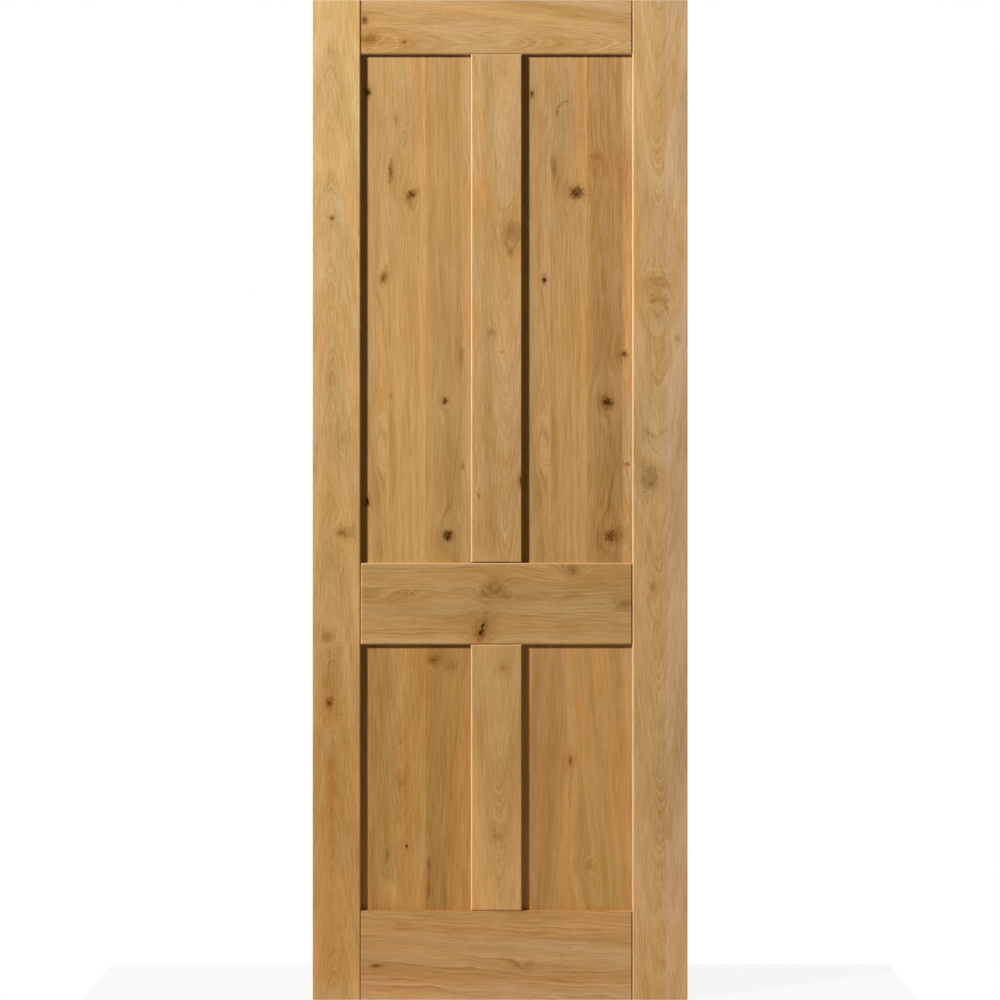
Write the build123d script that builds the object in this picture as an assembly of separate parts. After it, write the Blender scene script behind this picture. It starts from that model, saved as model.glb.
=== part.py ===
from build123d import *
import os

# A four-panel interior door leaf in oak. Two stiles, three rails and two muntins are grooved along
# every edge that faces a panel. Four flat panels stand loose in the grooves, stub tongues on the
# rails and muntins fill them at the joints, and fluted dowels tie each joint.
# +Z is up and the shown face looks along -Y, with +X to its right. The origin is under the middle
# of the leaf, at its bottom edge. Sizes are in millimetres.

# The leaf
door_width = 762.0
door_height = 2032.0
door_thickness = 35.0

# The frame's members, as seen on the face
left_stile_width = 98.0
right_stile_width = 112.0
muntin_width = 104.0
top_rail_height = 110.0
mid_rail_height = 166.0
bottom_rail_height = 181.0
mid_rail_top = 888.0  # above the leaf's bottom edge

# 45 degree arrises
joint_arris = 2.5  # where a member meets a panel or another member, so that joints show as a V
outer_arris = 1.0  # down the leaf's two long outer edges

# Panels, grooves and the tongues that fill them at the joints
panel_thickness = 12.0
groove_depth = 12.0
groove_play = 0.15  # on each face of a panel or a tongue
tongue_end_gap = 0.3
panel_side_gap = 2.5  # room for a panel to swell at each side
panel_top_gap = 2.5

# Dowels
dowel_diameter = 12.0
dowel_length = 120.0
dowel_chamfer = 1.2
dowel_play = 0.1  # all round, for glue
dowel_end_gap = 1.5
ridge_count = 10
flute_depth = 0.45
rail_dowel_inset = 34.0  # from a rail's edge to its first dowel
muntin_dowel_inset = 30.0
top_rail_dowels = 2
mid_rail_dowels = 3
bottom_rail_dowels = 3
muntin_dowels = 2

# How far a cutting tool runs past what it cuts
overrun = 1.0

# Places across the leaf
left_edge = -door_width / 2
right_edge = door_width / 2
left_shoulder = left_edge + left_stile_width
right_shoulder = right_edge - right_stile_width
opening_width = (right_shoulder - left_shoulder - muntin_width) / 2
muntin_left = left_shoulder + opening_width
muntin_right = right_shoulder - opening_width

# Places up the leaf
top_rail_bottom = door_height - top_rail_height
mid_rail_bottom = mid_rail_top - mid_rail_height

groove_width = panel_thickness + 2 * groove_play
tongue_length = groove_depth - tongue_end_gap

# Each rail's bottom, top and dowels at an end
rails = {
    "top_rail": (top_rail_bottom, door_height, top_rail_dowels),
    "mid_rail": (mid_rail_bottom, mid_rail_top, mid_rail_dowels),
    "bottom_rail": (0.0, bottom_rail_height, bottom_rail_dowels),
}

# The bottom and top of each row of panels, with the muntin that parts them
rows = {
    "upper": (mid_rail_top, top_rail_bottom),
    "lower": (bottom_rail_height, mid_rail_bottom),
}

# Which of a board's faces, sorted along an axis, lies on each of its sides
sides = {
    "left": (Axis.X, 0),
    "right": (Axis.X, -1),
    "bottom": (Axis.Z, 0),
    "top": (Axis.Z, -1),
}


def board(x0, x1, z0, z1, thickness=door_thickness):
    """A board from x0 to x1 and z0 to z1, on the leaf's middle plane."""
    return Pos((x0 + x1) / 2, 0, (z0 + z1) / 2) * Box(x1 - x0, thickness, z1 - z0)


def eased(member, arris, *named):
    """The member with an arris along the front and back edges of its named sides."""
    edges = ShapeList()
    for name in named:
        axis, place = sides[name]
        face = member.faces().sort_by(axis)[place]
        edges += face.edges().filter_by(Axis.Y, reverse=True)
    return chamfer(edges, arris)


def groove(x0, x1, z0, z1):
    """What is ploughed out of a member's edge for panels and tongues."""
    return board(x0, x1, z0, z1, groove_width)


def spread(low, high, inset, count):
    """Evenly spaced places from one inset to the other."""
    first = low + inset
    step = (high - low - 2 * inset) / max(count - 1, 1)
    return [first + step * i for i in range(count)]


def places_of_dowels():
    """For each joint's node, where its dowels lie, half of each on either side of the shoulder."""
    places = {}
    for name, (low, high, count) in rails.items():
        heights = spread(low, high, rail_dowel_inset, count)
        for side, x in (("left", left_shoulder), ("right", right_shoulder)):
            places[f"{name}_{side}_dowels"] = [Pos(x, 0, z) * Rot(0, 90, 0) for z in heights]
    across = spread(muntin_left, muntin_right, muntin_dowel_inset, muntin_dowels)
    for row, (low, high) in rows.items():
        for end, z in (("bottom", low), ("top", high)):
            places[f"{row}_muntin_{end}_dowels"] = [Pos(x, 0, z) for x in across]
    return places


dowel_places = places_of_dowels()


def bored(member, *joints):
    """The member with the dowel holes of the joints that it takes part in."""
    hole = Cylinder(dowel_diameter / 2 + dowel_play, dowel_length + 2 * dowel_end_gap)
    return member - [place * hole for joint in joints for place in dowel_places[joint]]


def stile(x0, x1, inner):
    """A full-height stile, grooved and eased on its inner side."""
    outer = "left" if inner == "right" else "right"
    floor = x1 - groove_depth if inner == "right" else x0 + groove_depth
    mouth = x1 + overrun if inner == "right" else x0 - overrun
    member = board(x0, x1, 0, door_height)
    member = eased(member, joint_arris, inner)
    member = eased(member, outer_arris, outer)
    member -= groove(min(floor, mouth), max(floor, mouth), -overrun, door_height + overrun)
    return bored(member, *[f"{name}_{outer}_dowels" for name in rails])


def rail(name, panel_sides, muntin_joints):
    """A rail between the stiles, with a tongue at each end and a groove along each panel side."""
    low, high, _ = rails[name]
    member = board(left_shoulder, right_shoulder, low, high)
    member = eased(member, joint_arris, "left", "right", *panel_sides)
    tongue = (left_shoulder - tongue_length, right_shoulder + tongue_length)
    member += board(*tongue, low, high, panel_thickness)
    reach = (left_shoulder - groove_depth, right_shoulder + groove_depth)
    if "bottom" in panel_sides:
        member -= groove(*reach, low - overrun, low + groove_depth)
    if "top" in panel_sides:
        member -= groove(*reach, high - groove_depth, high + overrun)
    return bored(member, f"{name}_left_dowels", f"{name}_right_dowels", *muntin_joints)


def muntin(row):
    """The upright between a row's two panels, with a tongue at each end and a groove down each side."""
    low, high = rows[row]
    member = eased(board(muntin_left, muntin_right, low, high), joint_arris, *sides)
    tongue = (low - tongue_length, high + tongue_length)
    member += board(muntin_left, muntin_right, *tongue, panel_thickness)
    reach = (low - groove_depth, high + groove_depth)
    member -= groove(muntin_left - overrun, muntin_left + groove_depth, *reach)
    member -= groove(muntin_right - groove_depth, muntin_right + overrun, *reach)
    return bored(member, f"{row}_muntin_bottom_dowels", f"{row}_muntin_top_dowels")


def panel(row, x0, x1):
    """A flat panel that stands on its lower groove's floor, with room to swell at the sides and top."""
    low, high = rows[row]
    cover = groove_depth - panel_side_gap
    top = high + groove_depth - panel_top_gap
    return board(x0 - cover, x1 + cover, low - groove_depth, top, panel_thickness)


def dowel():
    """A dowel along Z about its middle, with tapered ends, and glue flutes between its ridges."""
    radius = dowel_diameter / 2
    barrel = dowel_length / 2 - dowel_chamfer
    corners = []
    for i in range(ridge_count):
        for reach, turn in ((radius, i), (radius - flute_depth, i + 0.5)):
            corners.append(Vector(reach, 0).rotate(Axis.Z, 360 * turn / ridge_count))
    section = make_face(Polyline(*corners, close=True))
    tip = scale(section, (radius - dowel_chamfer) / radius)
    end = loft([Pos(0, 0, barrel) * section, Pos(0, 0, dowel_length / 2) * tip], ruled=True)
    return extrude(section, barrel, both=True) + [end, mirror(end, Plane.XY)]


def leaf():
    """Every piece of the leaf by the name of its node."""
    pieces = {
        "left_stile": stile(left_edge, left_shoulder, "right"),
        "right_stile": stile(right_shoulder, right_edge, "left"),
        "top_rail": rail("top_rail", ["bottom"], ["upper_muntin_top_dowels"]),
        "mid_rail": rail(
            "mid_rail", ["bottom", "top"], ["upper_muntin_bottom_dowels", "lower_muntin_top_dowels"]
        ),
        "bottom_rail": rail("bottom_rail", ["top"], ["lower_muntin_bottom_dowels"]),
    }
    for row in rows:
        pieces[f"{row}_muntin"] = muntin(row)
        pieces[f"{row}_left_panel"] = panel(row, left_shoulder, muntin_left)
        pieces[f"{row}_right_panel"] = panel(row, muntin_right, right_shoulder)
    pin = dowel()
    for joint, places in dowel_places.items():
        pieces[joint] = Compound([place * pin.solid() for place in places])
    return pieces


os.makedirs("parts", exist_ok=True)
for node, shape in leaf().items():
    shape.label = node
    export_step(shape, f"parts/{node}.step")
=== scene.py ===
"""Looks of a four-panel interior door leaf in knotty oak, on a pale floor in a plain studio.

Every board of the leaf has its own figure: growth rings round a pith, knots that push the rings
aside, stains, and the joints between the leaves that a board's face is made up of. Places on the
boards are in millimetres, across from the leaf's middle and up from its bottom edge.
"""

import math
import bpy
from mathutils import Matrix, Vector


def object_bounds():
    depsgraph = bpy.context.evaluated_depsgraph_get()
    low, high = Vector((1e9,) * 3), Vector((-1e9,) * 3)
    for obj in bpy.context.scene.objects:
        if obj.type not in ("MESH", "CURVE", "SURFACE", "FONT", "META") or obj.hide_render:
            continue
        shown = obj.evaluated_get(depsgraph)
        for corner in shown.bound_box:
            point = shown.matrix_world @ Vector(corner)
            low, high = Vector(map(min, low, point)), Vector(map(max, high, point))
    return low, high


bl_info = {
    "name": "Four-panel oak door leaf",
    "version": (1, 0, 0),
    "blender": (4, 5, 0),
    "location": "3D View > Sidebar > Door",
    "description": "Finishes the boards of a knotty oak door leaf and sets up its studio",
    "category": "Object",
}

from typing import NamedTuple

import bmesh
import bpy
from bpy.props import FloatProperty, FloatVectorProperty, PointerProperty
from bpy.types import Operator, Panel, PropertyGroup
from mathutils import Vector

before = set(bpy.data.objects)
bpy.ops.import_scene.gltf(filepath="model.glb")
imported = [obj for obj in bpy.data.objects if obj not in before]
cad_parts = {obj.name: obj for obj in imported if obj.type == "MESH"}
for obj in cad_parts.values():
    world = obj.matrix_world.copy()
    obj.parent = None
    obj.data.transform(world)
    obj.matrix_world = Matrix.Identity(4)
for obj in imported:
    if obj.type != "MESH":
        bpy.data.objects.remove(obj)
cad_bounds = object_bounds()
LEAF_LOW, LEAF_HIGH = (Vector(corner) for corner in cad_bounds)
LEAF_HEIGHT = LEAF_HIGH.z - LEAF_LOW.z
FACE = LEAF_LOW.y

MM = 0.001
THROUGH = 1e6  # half size along the depth of a mark that runs right through a board


class Knot(NamedTuple):
    """A branch that the face cuts: where it is, its half sizes, its turn and how it shows."""

    across: float
    up: float
    wide: float
    tall: float
    turn: float = 0.0  # in degrees
    dark: float = 0.9  # its black heart
    body: float = 0.7  # the brown wood round the heart
    halo: float = 0.4  # the tinted oak round that
    swirl: float = 2.0  # how many rings close round it
    part: float = 0.7  # how far it parts the grain, up to 1
    reach: float = 2.2  # how far its halo and swirl go, in half sizes
    crack: float = 0.0  # how black the cracks over its heart are
    hollow: float = 0.0  # how far its middle stays clear, so that it shows as a ring
    hue: str = "brown"


class Stain(NamedTuple):
    """A patch of another tone, fading from its middle, with its half sizes."""

    across: float
    up: float
    wide: float
    tall: float
    hue: str
    strength: float
    turn: float = 0.0


class Figure(NamedTuple):
    """How a board is cut from its tree, and how its tone changes along it."""

    pith: tuple  # across from the leaf's middle, or up from its foot, and how far behind the face
    taper: float = 0.12  # how fast the rings open along the grain
    ring: float = 3.0  # a year's growth
    wander: float = 9.0  # how far the rings stray from true
    lines: float = 1.0  # how plain the ring lines are
    streaks: float = 1.0
    fine: float = 1.0  # contrast of the finest fibres
    broad: float = 1.1  # contrast of the widest bands
    finer: tuple = ()  # places across it past which the finest contrast changes, and by how much
    # Partly painted shade: it also darkens the rail-end arrises in the joints, standing in for
    # their shade
    ends_and_joint_shade: float = 0.45  # how dark its end grain is
    # Painted sheen: how far its arrises are mixed towards a pale colour that stands in for the
    # finish's shine
    arris_sheen: float = 0.45  # how pale its arrises are
    seed: float = 0.0
    slip: float = 0.0  # how far along the leaf the same veneer was laid again
    joints: tuple = ()  # where one leaf of veneer meets the next, and how far its figure jumps
    low: tuple = (1.0, 1.0, 1.0)  # what its colour is multiplied by at the bottom or left end
    high: tuple = (1.0, 1.0, 1.0)  # and at the top or right end


# Multipliers that a stain or a knot's halo lays over the oak. Along the arrises at the joints,
# joint and line are used as painted shade, and light as painted highlight.
HUES = {
    "brown": (0.68, 0.53, 0.34),
    "red": (0.86, 0.56, 0.40),
    "orange": (1.02, 0.84, 0.62),
    "pink": (1.02, 0.92, 0.98),
    "olive": (0.70, 0.68, 0.56),
    "grey": (0.88, 0.94, 1.04),
    "light": (1.12, 1.16, 1.24),
    "line": (0.62, 0.48, 0.34),
    "deep": (0.84, 0.80, 0.77),
    "ash": (1.08, 1.22, 1.60),
    "joint": (0.36, 0.24, 0.13),
}

UPRIGHTS = ("left_stile", "right_stile", "upper_muntin", "lower_muntin")
RAILS = ("top_rail", "mid_rail", "bottom_rail")
PANELS = ("upper_left_panel", "upper_right_panel", "lower_left_panel", "lower_right_panel")
DOWELS = tuple(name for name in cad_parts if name.endswith("_dowels"))

VENEER_JOINTS = ((-226, 60, 700), (-152, -110, 1500), (-79, 90, 2300))
FIGURES = {
    "left_stile": Figure(
        pith=(-341, 22), taper=0.11, ring=2.6, lines=0.5, fine=1.4, broad=0.8,
        low=(0.77, 0.64, 0.46), high=(1.05, 1.06, 1.04),
    ),
    "right_stile": Figure(
        pith=(322, 22), taper=-0.11, ring=2.6, lines=0.5, fine=1.25, broad=0.75, seed=3.7,
        low=(0.91, 0.84, 0.80), high=(1.10, 1.09, 1.11),
    ),
    "upper_muntin": Figure(
        pith=(10, 24), taper=-0.10, ring=2.6, lines=0.4, fine=1.3, broad=0.55, ends_and_joint_shade=0.0, seed=7.4,
        low=(0.90, 0.76, 0.63), high=(0.96, 0.95, 0.94),
    ),
    "lower_muntin": Figure(
        pith=(0, 22), taper=-0.10, ring=2.6, lines=0.35, broad=0.9, ends_and_joint_shade=0.0, seed=11.1,
        low=(0.96, 0.81, 0.65), high=(0.70, 0.79, 0.75),
    ),
    "top_rail": Figure(
        pith=(1944, 22), taper=0.11, ring=2.6, lines=0.55, seed=14.8, joints=((1981, 60, 700),),
        low=(0.92, 0.84, 0.75), high=(1.08, 1.06, 1.13),
    ),
    "mid_rail": Figure(
        pith=(610, 60), taper=0.0, ring=7.0, wander=16, lines=0.7, ends_and_joint_shade=0.0, seed=18.5,
        low=(0.79, 0.75, 0.66), high=(0.89, 0.79, 0.67),
    ),
    "bottom_rail": Figure(
        pith=(-200, 60), taper=0.055, ring=10.0, wander=8, lines=0.9, streaks=0.85, ends_and_joint_shade=0.3,
        arris_sheen=0.0, seed=22.2, low=(0.77, 0.66, 0.58), high=(0.95, 0.85, 0.82),
    ),
    "upper_left_panel": Figure(
        pith=(-380, 40), taper=0.03, wander=5, lines=0.45, streaks=0.9, seed=40.0,
        joints=VENEER_JOINTS, finer=((-152, -0.15),),
        low=(0.85, 0.81, 0.61), high=(1.00, 1.00, 1.02),
    ),
    "upper_right_panel": Figure(
        pith=(-380, 40), taper=0.03, wander=5, lines=0.45, streaks=0.9, fine=1.3, seed=40.0,
        slip=330, joints=VENEER_JOINTS, finer=((177, 0.6),),
        low=(0.81, 0.75, 0.56), high=(1.03, 1.00, 1.04),
    ),
    "lower_left_panel": Figure(
        pith=(-203, 30), taper=-0.08, wander=6, lines=0.5, streaks=0.9, fine=1.4, seed=43.7,
        joints=((-151, 90, 900),), low=(0.76, 0.66, 0.50), high=(0.94, 0.92, 0.78),
    ),
    "lower_right_panel": Figure(
        pith=(150, 30), taper=0.08, wander=6, lines=0.45, streaks=0.75, fine=1.2, seed=47.4,
        joints=((138, 60, 700), (204, 90, 900)), low=(0.85, 0.77, 0.63), high=(1.20, 1.06, 1.04),
    ),
}

# Tone across each board: place, brightness, then how red and how blue it is if it is tinted.
# Two stops at one place are a joint between two leaves. Some panel stops are painted shade or
# highlight, as marked.
TONES = {
    "left_stile": [
        (-381, 1.04), (-365, 1.0), (-347, 0.91), (-325, 0.97), (-300, 1.02), (-283, 1.05),
    ],
    "right_stile": [
        (269, 1.03), (300, 1.0), (335, 0.96, 1, 0.98), (340, 1.05, 0.97, 1.2),
        (381, 1.04, 0.97, 1.2),
    ],
    "upper_muntin": [
        (-59, 1.03), (-36, 1.0), (-29, 0.91, 1, 0.97), (-16, 0.94, 1, 0.97), (-6, 1.04, 1, 1.03),
        (20, 1.0), (45, 1.03),
    ],
    "lower_muntin": [(-59, 1.04), (-15, 1.0), (20, 0.96), (45, 1.0)],
    "top_rail": [
        (1922, 0.97, 1, 0.97), (1945, 1.0, 0.99, 1), (1981, 1.02, 1, 1.05),
        (1981, 0.95, 1.02, 0.93), (2012, 0.98, 1.01, 0.98), (2032, 1.04, 1.01, 1.02),
    ],
    "mid_rail": [(722, 1.02), (760, 1.0), (820, 0.96), (888, 1.03)],
    "bottom_rail": [
        (0, 1.07, 0.98, 1.18), (34, 1.05, 0.98, 1.12), (44, 0.94), (66, 0.93, 1, 0.98), (86, 1.0),
        (106, 0.93, 1.02, 0.97), (126, 0.97, 1.02, 0.97), (150, 1.03), (181, 1.0, 1, 0.98),
    ],
    "upper_left_panel": [
        # Painted shade: the first two stops colour the left stile's shadow, and the next three
        # widen its soft edge
        (-283, 0.9, 1.08, 0.68), (-271, 0.9, 1.08, 0.68), (-266, 0.92), (-258, 0.94), (-242, 1.01),
        (-206, 1.05, 1, 1.03), (-180, 1.09), (-152, 1.14, 1, 1.03), (-152, 1.0),
        # Painted highlight: the stops from -72 make a paler, bluer strip beside the muntin's lit
        # wall
        (-112, 0.92, 1.01, 1), (-79, 0.88, 1.01, 0.98), (-79, 1.0), (-72, 1.05, 0.95, 1.15),
        (-65, 1.06, 0.93, 1.23), (-60, 0.91, 0.92, 1.2),
    ],
    "upper_right_panel": [
        # Painted shade: the first two stops colour the muntin's shadow, and the next three widen
        # its soft edge
        (45, 0.92, 1.08, 0.68), (57, 0.92, 1.08, 0.68), (62, 0.92), (70, 0.95), (84, 1.01),
        (103, 1.06, 1, 1.03), (103, 1.0), (125, 1.03), (155, 1.13, 1, 1.02), (177, 1.12),
        (177, 0.97, 1, 0.98), (205, 0.85, 1.02, 0.97), (249, 0.85, 1.02, 0.97), (249, 0.98),
        # Painted highlight: these stops make a paler, bluer strip beside the right stile's lit wall
        (252, 1.14, 0.95, 1.08), (262, 1.23, 0.9, 1.18), (268, 0.95, 0.9, 1.2),
    ],
    "lower_left_panel": [
        # Painted shade: the first two stops colour the left stile's shadow, redder and less blue
        (-283, 1.0, 1.05, 0.85), (-269, 1.0, 1.05, 0.85), (-262, 0.88), (-228, 0.92),
        (-220, 1.05, 1, 1.04), (-200, 1.12, 1, 1.06), (-185, 1.05), (-151, 1.1, 1, 1.03),
        (-151, 1.0), (-128, 0.88, 1, 0.97), (-105, 0.95, 1, 0.98), (-85, 1.03),
        # Painted highlight: these stops make a paler, bluer strip beside the muntin's lit wall
        (-68, 1.06, 0.97, 1.08), (-60, 0.96, 0.95, 1.12),
    ],
    "lower_right_panel": [
        # Painted light: the first two stops lighten and redden the muntin's shadow
        (45, 1.12, 1.04, 0.95), (59, 1.08, 1.04, 0.95), (66, 0.87, 1, 1.08), (100, 0.89, 1, 1.06),
        (128, 0.95, 1, 1.04), (138, 1.05, 1, 0.99), (165, 1.02, 1, 0.98), (204, 1.04, 1, 0.98),
        # Painted highlight: the stops from 253 make a paler, bluer strip beside the right stile's
        # lit wall
        (204, 1.0, 1, 0.97), (240, 1.03, 1, 0.97), (253, 1.02, 0.96, 1.05), (260, 1.1, 0.91, 1.13),
        (267, 0.98, 0.91, 1.14),
    ],
}

KNOTS = {
    "left_stile": [
        Knot(-341, 1589, 5, 5, dark=0.62, halo=0.35, swirl=5, reach=3.0),
        Knot(-321, 949, 10, 7, dark=0.4, swirl=8, reach=2.8),
        Knot(-351, 738, 9, 9, dark=0.2, halo=0.35, swirl=7, reach=2.6),
        Knot(-347, 604, 7, 12, dark=0.6, halo=0.7, swirl=7, crack=0.4, hue="red"),
        Knot(-321, 1138, 8, 12, dark=0.0, halo=0.15, swirl=5, reach=2.0),
    ],
    "right_stile": [
        Knot(320, 1455, 24, 17, dark=0.0, halo=0.35, swirl=5, reach=1.6),
        Knot(310, 1421, 6, 5, dark=0.1, halo=0.35, swirl=0.5, reach=1.5),
        Knot(330, 1423, 12, 6, turn=-12, dark=0.1, swirl=0.5, reach=1.5),
        Knot(322, 1382, 16, 26, dark=0.0, halo=0.2, swirl=8, reach=1.7, hue="olive"),
        Knot(319, 1391, 3, 5, dark=0.15, halo=0.3, swirl=0.5, hue="olive"),
        Knot(303, 1059, 13, 17, dark=0.75, body=0.9, swirl=10, hollow=0.7, hue="olive"),
        Knot(306, 1049, 5, 3, turn=-25, dark=0.3, halo=0.3, swirl=1),
        Knot(361, 1345, 5, 5, dark=0.15, halo=0.3, swirl=4),
        Knot(310, 837, 6, 8, dark=0.2, halo=0.35, swirl=5),
        Knot(329, 152, 10, 30, dark=0.0, halo=0.1, swirl=8, reach=1.8),
    ],
    "upper_muntin": [
        Knot(28, 1562, 20, 18, dark=0.05, halo=0.8, reach=1.5, hue="olive"),
        Knot(22, 1521, 4, 8, dark=0.3, reach=2.0),
        Knot(4, 1317, 3, 3, dark=0.25, halo=0.2, swirl=1),
        Knot(-16, 1357, 6, 6, dark=0.1),
        Knot(43, 1053, 5, 12, dark=0.75, halo=0.5, swirl=4),
        Knot(-43, 1024, 4, 4, dark=0.25, halo=0.3, swirl=1),
    ],
    "lower_muntin": [
        Knot(6, 675, 6, 8, dark=0.25, swirl=5, reach=2.6),
        Knot(-4, 333, 7, 7, dark=0.12, swirl=5, reach=2.6),
    ],
    "top_rail": [
        Knot(-276, 1991, 8, 8, dark=0.55, halo=0.5, swirl=4, hue="red"),
        Knot(-268, 1951, 16, 9, dark=0.3, halo=0.6, swirl=4, reach=1.8),
        Knot(-194, 1947, 4, 4, dark=0.5, swirl=4),
    ],
    "mid_rail": [
        Knot(
            -12, 838, 13, 11, dark=0.5, body=0.8, halo=0.5, swirl=4, reach=2.4, hollow=0.9,
            hue="olive",
        ),
        Knot(-20, 838, 3, 3, dark=0.3, halo=0.3, swirl=0.5),
        Knot(-8, 830, 4, 3, turn=-30, dark=0.35, halo=0.3, swirl=0.5),
        Knot(-32, 825, 9, 6, dark=0.12, halo=0.5, swirl=1),
        Knot(13, 820, 6, 5, dark=0.05, halo=0.45, swirl=1),
        Knot(-36, 752, 7, 23, turn=-14, dark=0.7, halo=0.6, swirl=5, reach=2.4),
        Knot(147, 874, 11, 9, dark=0.4, halo=0.5, swirl=3),
        Knot(253, 803, 13, 9, dark=0.15, hue="olive"),
        Knot(-180, 827, 5, 3, dark=0.3, halo=0.3, swirl=1, hue="red"),
        Knot(-262, 821, 26, 9, dark=0.0, halo=0.2, swirl=1.5, reach=1.8),
    ],
    "bottom_rail": [
        Knot(-251, 69, 12, 3, dark=0.5, halo=0.5, swirl=1, hue="red"),
        Knot(57, 71, 16, 7, dark=0.15, swirl=1),
    ],
    "upper_left_panel": [
        Knot(-268, 1847, 6, 9, halo=0.5, swirl=1.5),
        Knot(-212, 1790, 4, 10, dark=0.15),
        Knot(
            -196, 1751, 6, 13, turn=-12, dark=0.2, body=0.8, halo=0.2, swirl=2.5, reach=2.0,
            hollow=1.0, hue="olive",
        ),
        Knot(-223, 1685, 5, 20, dark=0.48, halo=0.5, swirl=3),
        Knot(-181, 1638, 12, 8, turn=40, dark=0.62, halo=0.55, swirl=5, crack=0.4),
        Knot(-237, 1469, 7, 12, turn=-15, dark=0.5, halo=0.5, swirl=4),
        Knot(-78, 1313, 4, 16, dark=0.22),
        Knot(-112, 1219, 8, 8, dark=0.64, halo=0.35, swirl=7, hue="grey"),
        Knot(-223, 1227, 3, 5, dark=0.15, halo=0.3, swirl=1),
        Knot(-244, 1164, 12, 26, dark=0.0, halo=0.3, swirl=8, reach=1.8, hue="light"),
        Knot(-236, 1108, 9, 16, dark=0.0, halo=0.2, swirl=4, reach=1.8, hue="light"),
        Knot(-75, 1086, 3, 6, dark=0.42, halo=0.3),
        Knot(-270, 1012, 5, 11, dark=0.95, halo=0.5),
        Knot(-106, 943, 12, 12, dark=0.85, swirl=9, reach=2.6, crack=0.5),
    ],
    "upper_right_panel": [
        Knot(65, 1843, 5, 7, dark=0.75, halo=0.5, swirl=1.5),
        Knot(110, 1696, 6, 20, turn=10, dark=0.1, halo=0.5, hue="olive"),
        Knot(156, 1642, 16, 12, dark=0.62, halo=0.45, swirl=7, crack=0.7),
        Knot(194, 1715, 8, 6, dark=0.15, halo=0.45),
        Knot(90, 1465, 5, 9, dark=0.75, halo=0.45, swirl=3),
        Knot(253, 1313, 8, 6, dark=0.6, swirl=4),
        Knot(218, 1215, 13, 13, dark=0.78, halo=0.45, swirl=7, crack=0.6),
        Knot(259, 1089, 6, 4, dark=0.4, hue="red"),
        Knot(86, 1164, 12, 26, dark=0.0, halo=0.25, swirl=8, reach=1.8, hue="light"),
        Knot(94, 1108, 9, 16, dark=0.0, halo=0.2, swirl=4, reach=1.8, hue="light"),
        Knot(225, 943, 12, 11, dark=0.5, halo=0.5, swirl=12, reach=3.0, crack=0.9),
    ],
    "lower_left_panel": [
        Knot(-133, 691, 10, 7, dark=0.35, body=0.8, halo=0.55, swirl=4, hollow=0.6),
        Knot(-135, 690, 5, 4, dark=0.75, halo=0.3, swirl=0.5),
        Knot(-98, 677, 8, 6, dark=0.03),
        Knot(-200, 439, 8, 8, dark=0.15, halo=0.3, swirl=3, reach=1.8),
        Knot(-190, 311, 3, 5, dark=0.75, swirl=3, reach=4.0),
        Knot(-229, 289, 4, 13, dark=0.25, hue="olive"),
        Knot(-222, 215, 10, 20, dark=0.0, halo=0.25, swirl=6, reach=1.8, hue="light"),
        Knot(-145, 272, 3.5, 16, dark=0.35, halo=0.45),
        Knot(-146, 222, 3, 14, dark=0.35),
    ],
    "lower_right_panel": [
        Knot(143, 484, 4, 9, dark=0.5, halo=0.5, swirl=4, reach=3.0, hue="red"),
        Knot(180, 270, 8, 7, dark=0.12, halo=0.3, swirl=6, reach=3.0),
    ],
}

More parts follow.
